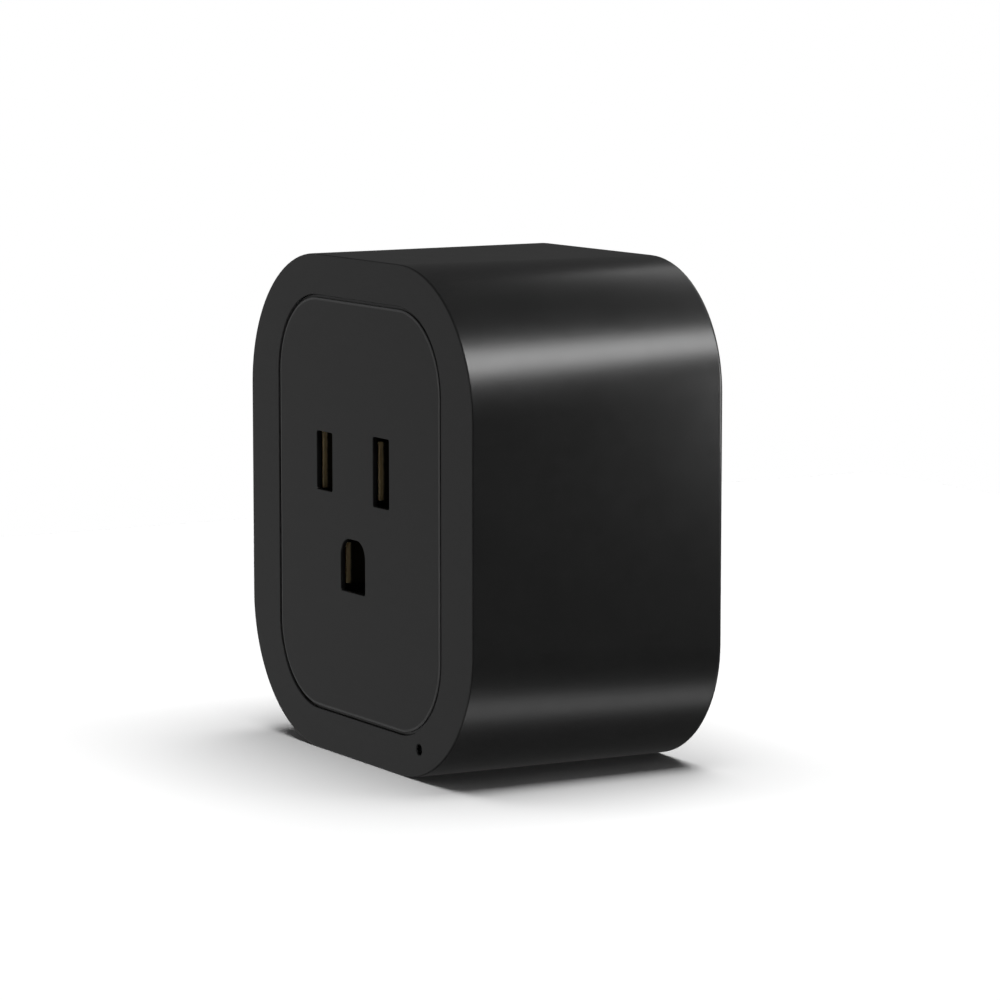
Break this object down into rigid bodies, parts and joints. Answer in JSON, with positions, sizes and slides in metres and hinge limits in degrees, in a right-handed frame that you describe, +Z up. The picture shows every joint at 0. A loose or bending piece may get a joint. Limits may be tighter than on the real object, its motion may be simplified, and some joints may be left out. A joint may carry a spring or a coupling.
{
  "type": "smart plug",
  "caption": "Switched wall plug: rounded black case with a grounded outlet in a flush front panel, a side button, folding prongs in wells at the rear, and relay and radio boards inside.",
  "frame": {"origin": "centre of the case's footprint, on its bottom flat", "axes": "+Z up, +X to the right across the face, the outlet face looks towards -Y and the prongs swing out towards +Y"},
  "size_m": [0.0544, 0.034, 0.06],
  "materials": {
    "case_black": "fine satin moulded black",
    "panel_black": "fine satin moulded black",
    "button_black": "smooth satin black",
    "smoke_clear": "dark clear light pipe, unlit",
    "block_black": "moulded insulator",
    "carrier_black": "moulded black",
    "brass": "stamped sheet",
    "nickel": "satin nickel plate",
    "steel": "turned or stamped steel",
    "copper": "copper alloy strip and wire",
    "board_green": "solder resist over glass laminate",
    "relay_blue": "moulded blue",
    "bobbin_cream": "moulded cream",
    "cap_yellow": "yellow tape or case",
    "sleeve_black": "shrink sleeve",
    "core_grey": "sintered ferrite",
    "disc_blue": "dipped coating",
    "resistor_green": "lacquered",
    "chip_black": "moulded package",
    "lens_white": "clear over white"
  },
  "bodies": {
    "root": {"front_shell": "case_black", "socket_panel": "panel_black", "rear_cover": "case_black", "light_pipe": "smoke_clear", "cover_screw_1": "steel", "cover_screw_2": "steel", "cover_screw_3": "steel", "cover_screw_4": "steel", "socket_block": "block_black", "hot_contact": "brass", "neutral_contact": "brass", "ground_contact": "brass", "hot_busbar": "copper", "neutral_busbar": "copper", "ground_strap": "copper", "blade_pivot_pin": "steel", "ground_pivot_pin": "steel", "hot_wiper": "copper", "neutral_wiper": "copper", "ground_wiper": "copper", "tact_switch_body": "chip_black", "main_board": "board_green", "relay_case": "relay_blue", "relay_base": "block_black", "relay_bobbin": "bobbin_cream", "relay_coil": "copper", "relay_yoke": "steel", "relay_fixed_contact": "copper", "electrolytic_capacitor": "sleeve_black", "filter_capacitor": "cap_yellow", "transformer_core": "core_grey", "transformer_winding": "cap_yellow", "varistor": "disc_blue", "fuse_resistor": "resistor_green", "rectifier": "chip_black", "control_chip": "chip_black", "status_led": "lens_white", "wifi_board": "board_green", "wifi_shield": "nickel"},
    "blades": {"hot_blade": "nickel", "neutral_blade": "nickel", "blade_carrier": "carrier_black"},
    "ground": {"ground_pin": "nickel", "ground_carrier": "carrier_black"},
    "button": {"power_button": "button_black", "tact_switch_plunger": "bobbin_cream"},
    "armature": {"relay_armature": "steel", "relay_contact_arm": "copper"}
  },
  "joints": [
    {"name": "blades_fold", "type": "hinge", "parent": "root", "child": "blades", "pos_m": [0, 0.01345, 0.0372], "axis": [1, 0, 0], "range_deg": [0, 90]},
    {"name": "ground_fold", "type": "hinge", "parent": "root", "child": "ground", "pos_m": [0, 0.01425, 0.0253], "axis": [1, 0, 0], "range_deg": [0, 90]},
    {"name": "button_press", "type": "slide", "parent": "root", "child": "button", "axis": [1, 0, 0], "range_m": [0, 0.00035], "stiffness_N_per_m": 2000, "springref_m": -0.0002},
    {"name": "armature_pull", "type": "hinge", "parent": "root", "child": "armature", "pos_m": [0.0021, -0.0109, 0.0492], "axis": [0, 0, -1], "range_deg": [0, 4], "stiffness_Nm_per_rad": 0.02, "springref_deg": -2.86}
  ]
}
